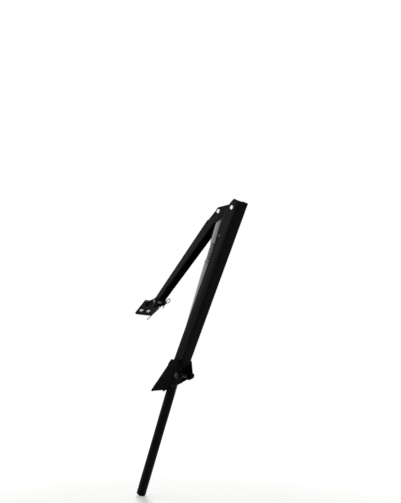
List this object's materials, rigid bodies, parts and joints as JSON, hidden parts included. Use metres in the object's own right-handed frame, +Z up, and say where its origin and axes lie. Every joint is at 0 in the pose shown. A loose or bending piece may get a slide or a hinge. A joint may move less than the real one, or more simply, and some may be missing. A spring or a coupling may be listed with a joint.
{
  "type": "linear actuator",
  "caption": "Heat-driven vent opener: a wax cylinder pushes a telescoping strut that spreads two hinged black channel arms between a sill bracket and a window bracket.",
  "frame": {"origin": "middle of the two sill holes, on the bracket face that lies against the sill", "axes": "+Z up, +X into the room, +Y along the hinge pins and away from the camera; rest pose is the half-open pose in the picture"},
  "size_m": [0.3386, 0.043, 0.5133],
  "materials": {
    "black_paint": "semi-gloss black powder coat on folded steel",
    "plated_steel": "bright zinc plate",
    "brass": "turned brass",
    "nylon": "natural nylon",
    "rubber": "black nitrile",
    "wax": "mineral wax"
  },
  "bodies": {
    "base_bracket": {"base_bracket": "black_paint", "base_pivot_bolt": "plated_steel", "base_pivot_nut": "plated_steel", "base_pivot_washers": "nylon"},
    "base_arm": {"base_arm": "black_paint", "spacer_rivet": "plated_steel", "cylinder_holder": "black_paint", "holder_rivets": "plated_steel", "wax_cylinder": "black_paint", "cylinder_end_cap": "black_paint", "wax_charge": "wax", "cylinder_gland": "plated_steel", "gland_seal": "rubber", "cylinder_lock_ring": "black_paint", "guide_sleeve": "plated_steel", "sleeve_head": "plated_steel", "return_spring": "plated_steel", "apex_pin": "plated_steel", "apex_clip": "plated_steel"},
    "push_strut": {"piston": "brass", "piston_rod": "plated_steel", "push_tube": "plated_steel", "tube_foot_bush": "nylon", "adjuster_screw": "plated_steel", "adjuster_nut": "plated_steel", "push_rod": "plated_steel", "push_cap": "plated_steel"},
    "top_arm": {"top_arm": "black_paint", "apex_sleeve": "nylon", "push_pin": "plated_steel", "push_clip": "plated_steel"},
    "push_roller": {"push_roller": "plated_steel"},
    "window_bracket": {"window_bracket": "black_paint", "window_pin": "plated_steel", "window_pin_clip": "plated_steel", "window_screws": "plated_steel"}
  },
  "joints": [
    {"name": "base_pivot", "type": "hinge", "parent": "base_bracket", "child": "base_arm", "pos_m": [0.06585, 0, 0.00147], "axis": [0, 1, 0], "range_deg": [-10, 15]},
    {"name": "apex", "type": "hinge", "parent": "base_arm", "child": "top_arm", "pos_m": [0.21966, 0, 0.28004], "axis": [0, 1, 0], "range_deg": [-20, 45]},
    {"name": "push_slide", "type": "slide", "parent": "base_arm", "child": "push_strut", "axis": [0.4595, 0, 0.8882], "range_m": [-0.0132, 0.0294], "deforming": ["return_spring", "wax_charge"]},
    {"name": "roller_spin", "type": "hinge", "parent": "top_arm", "child": "push_roller", "pos_m": [0.18054, 0, 0.28558], "axis": [0, 1, 0], "continuous": true},
    {"name": "window_pivot", "type": "hinge", "parent": "top_arm", "child": "window_bracket", "pos_m": [-0.02689, 0, 0.15193], "axis": [0, 1, 0], "range_deg": [-10, 20]}
  ],
  "couplings": [
    {"joint": "push_slide", "follows": "apex", "m_per_rad": 0.03729}
  ]
}
